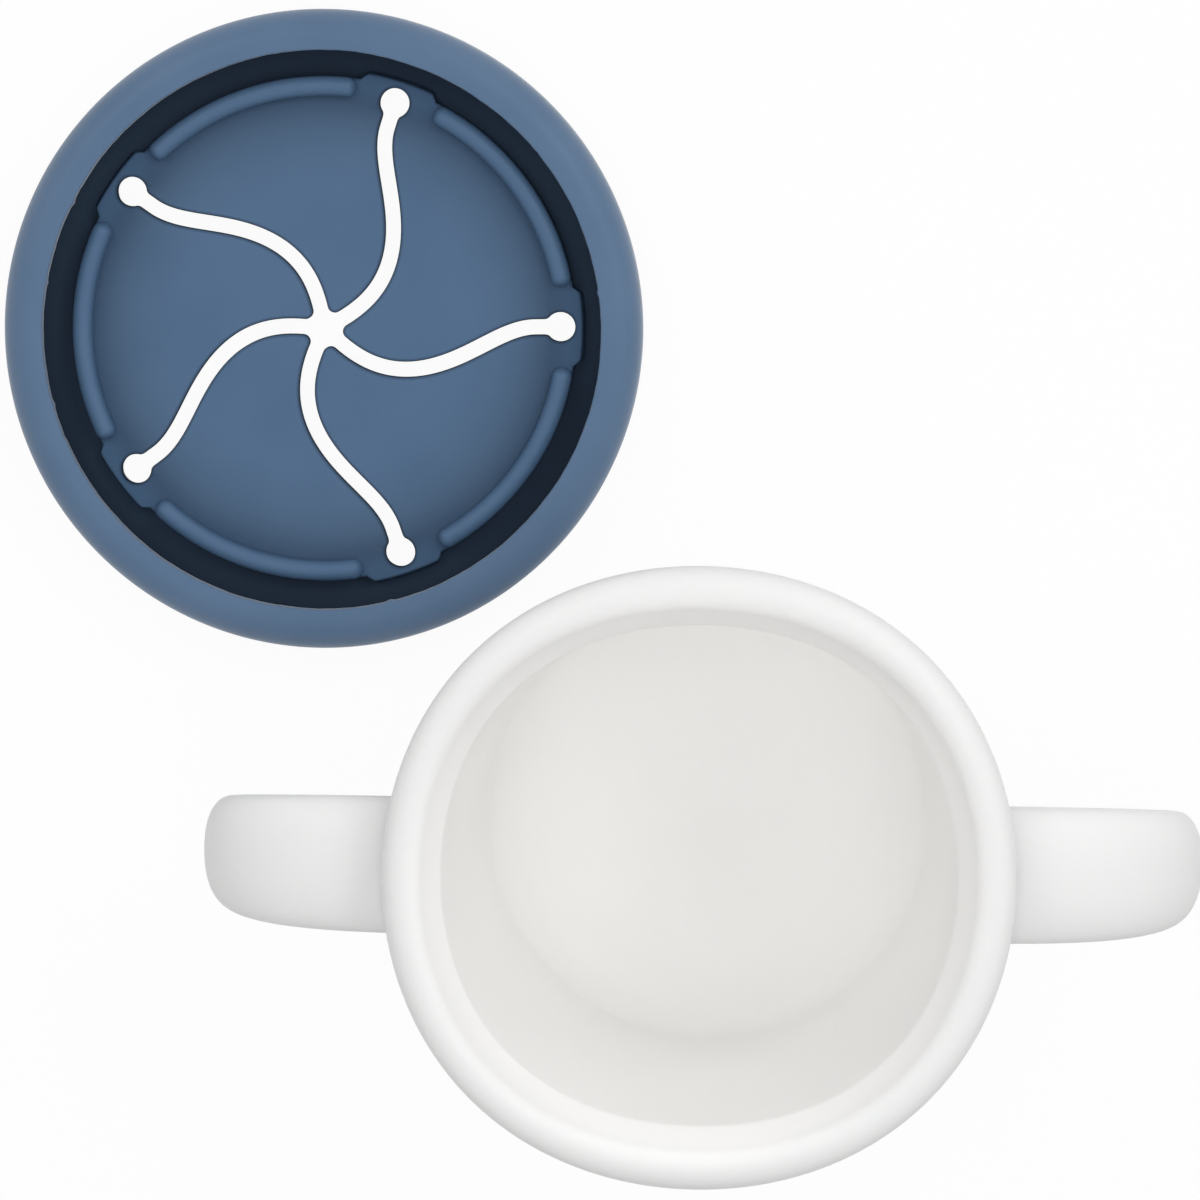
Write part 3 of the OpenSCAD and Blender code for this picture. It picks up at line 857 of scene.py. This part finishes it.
def petal_edge():
    """The petal's free edge between slit 0 and slit 1, from its corner at hole 1 round the
    tip to its corner at hole 0, all in the lid's own plane."""
    apex = slit_w / 2 / math.sin(wedge / 2)
    tangent = tip_r / math.tan(wedge / 2)
    tip_angle = wedge / 2 + slit_turn(apex + tangent)
    tip_centre = (apex + tip_r / math.sin(wedge / 2)) * toward(tip_angle)
    start = np.linalg.norm(apex * toward(0) + tangent * toward(wedge / 2)) + tip_clear
    half_w = slit_w / 2
    neck_in = math.sqrt(hole_r ** 2 - half_w ** 2)
    neck = holes[0] + np.array((-neck_in, half_w))
    end = math.sqrt(hole_ring_r ** 2 + hole_r ** 2 - 2 * hole_ring_r * neck_in)

    def hole_edge(degrees):
        return holes[0] + hole_r * toward(math.radians(degrees))

    def half(side, by_slit, by_hole):
        """One side of the petal, from the tip out to its corner at the hole."""
        run = [by_slit(slit_edge(r, side)) for r in np.linspace(start, end - corner_long, 62)]
        corner = eased(by_slit(slit_edge(end - corner_short, side)), by_hole(neck),
                       by_hole(hole_edge(corner_end)), 6)
        rest = [by_hole(hole_edge(d)) for d in np.linspace(corner_end - 2, hole_sweep, 4)]
        return run + corner + rest

    # the other side lies along slit 1, with its corner mirrored about that slit
    half0 = half(1, np.array, np.array)
    half1 = half(-1, lambda p: swung(p, wedge), lambda p: swung((p[0], -p[1]), wedge))
    tip = [tip_centre + tip_r * toward(a)
           for a in tip_angle + math.pi + (math.pi / 2 - wedge / 2) * np.linspace(-1, 1, 13)]
    return np.array([np.array(p) for p in half1[::-1] + tip + half0])


edge = petal_edge()
chord = chord_points(0)[1:-1]
outline = np.vstack((edge, chord))
ahead, behind = np.roll(outline, -1, axis=0), np.roll(outline, 1, axis=0)
along = ahead - behind
along /= np.linalg.norm(along, axis=1)[:, None]
inward = np.stack((-along[:, 1], along[:, 0]), axis=1)
# a corner rounds over along the hinge line, and the side on that line stays square
u = (holes[1] - holes[0]) / np.linalg.norm(holes[1] - holes[0])
inward[len(edge) - 1], inward[0] = u, -u
inward[len(edge):] = -toward(wedge / 2)
rounded = np.concatenate((np.ones(len(edge)), np.zeros(len(chord))))
for k in range(petals):
    a, node = k * wedge, "petal_%d" % (k + 1)
    spin = np.array(((math.cos(a), math.sin(a)), (-math.sin(a), math.cos(a))))
    petal = sheet_piece("lid_" + node,
                        [(outline @ spin, inward @ spin, np.zeros(len(outline)), rounded)])
    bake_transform(petal)
    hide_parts(node)


# ---- Ribs ----
# Five low arcs stand on the membrane between the holes. They press against the inside of
# the cup's mouth, have round tops and taper off in round ends.
rib_w, rib_h, rib_foot, rib_span = 2.7, 2.0, 0.2, math.radians(53)
# the square of the size that a rib's section still has at its very end
blunt = 0.0004

arc_ribs, given, put = geometry_group("arc_ribs", {
    "Count": "Int", "Radius": "Float", "Width": "Float", "Height": "Float", "Span": "Float",
    "Foot": "Float", "Turn": "Float", "Centre": "Vector", "Material": "Material"})
tree = arc_ribs
half = maths(tree, "MULTIPLY", given["Width"], 0.5)
start = maths(tree, "MULTIPLY", given["Span"], -0.5)
spine = add_node(tree, "GeometryNodeCurveArc", {"Resolution": 97, "Radius": given["Radius"],
                                                "Start Angle": start, "Sweep Angle": given["Span"]})
# along the spine: the distance to the nearer end, as a share of half the width
along = add_node(tree, "GeometryNodeSplineParameter").outputs["Length"]
length = maths(tree, "MULTIPLY", given["Span"], given["Radius"])
to_end = maths(tree, "MINIMUM", along, maths(tree, "SUBTRACT", length, along))
left = maths(tree, "SUBTRACT", 1.0, maths(tree, "MINIMUM", maths(tree, "DIVIDE", to_end, half), 1.0))
fall = maths(tree, "SUBTRACT", 1.0, maths(tree, "MULTIPLY", left, left))
scale = maths(tree, "POWER", maths(tree, "MAXIMUM", fall, blunt), 0.5)
sized = add_node(tree, "GeometryNodeSetCurveRadius", {0: spine.outputs[0], "Radius": scale})
ring = add_node(tree, "GeometryNodeCurvePrimitiveCircle", {"Resolution": 28, "Radius": half},
                mode="RADIUS")
position = add_node(tree, "GeometryNodeInputPosition").outputs[0]
point = add_node(tree, "ShaderNodeSeparateXYZ", {0: position}).outputs
# the lower half of the section goes down into the membrane, so the sides stay upright
is_low = maths(tree, "LESS_THAN", point[1], 0.00001)
lift = maths(tree, "SUBTRACT", given["Height"], half)
drop = maths(tree, "MULTIPLY", is_low, maths(tree, "ADD", lift, given["Foot"]))
upper = maths(tree, "MULTIPLY", point[1], maths(tree, "SUBTRACT", 1.0, is_low))
y = maths(tree, "SUBTRACT", drop, maths(tree, "ADD", upper, lift))
flat = add_node(tree, "ShaderNodeCombineXYZ", {0: point[0], 1: y}).outputs[0]
section = add_node(tree, "GeometryNodeSetPosition", {0: ring.outputs[0], "Position": flat})
wide = add_node(tree, "GeometryNodeInputRadius").outputs[0]
swept = add_node(tree, "GeometryNodeCurveToMesh",
                 {0: sized.outputs[0], 1: section.outputs[0], "Scale": wide, "Fill Caps": True})
each = add_node(tree, "GeometryNodePoints", {"Count": given["Count"], "Position": given["Centre"]})
index = add_node(tree, "GeometryNodeInputIndex").outputs[0]
round_by = maths(tree, "DIVIDE", maths(tree, "ADD", index, 0.5), given["Count"])
angle = maths(tree, "ADD", maths(tree, "MULTIPLY", round_by, 2 * math.pi), given["Turn"])
rotation = add_node(tree, "ShaderNodeCombineXYZ", {2: angle}).outputs[0]
placed = add_node(tree, "GeometryNodeInstanceOnPoints",
                  {"Points": each.outputs[0], "Instance": swept.outputs[0], "Rotation": rotation})
put_out(tree, placed.outputs[0], given["Material"], put)

ribs = grown("lid_arc_ribs", [(0, 0, 0)], [], arc_ribs, Count=petals, Radius=(plug_r - rib_w / 2) * MM,
             Width=rib_w * MM, Height=rib_h * MM, Span=rib_span, Foot=rib_foot * MM, Turn=lid_turn,
             Centre=tuple(lid_centre + Vector((0, 0, membrane_top * MM))), Material=blue_silicone)
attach(ribs, "lid")
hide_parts("lid_ribs")
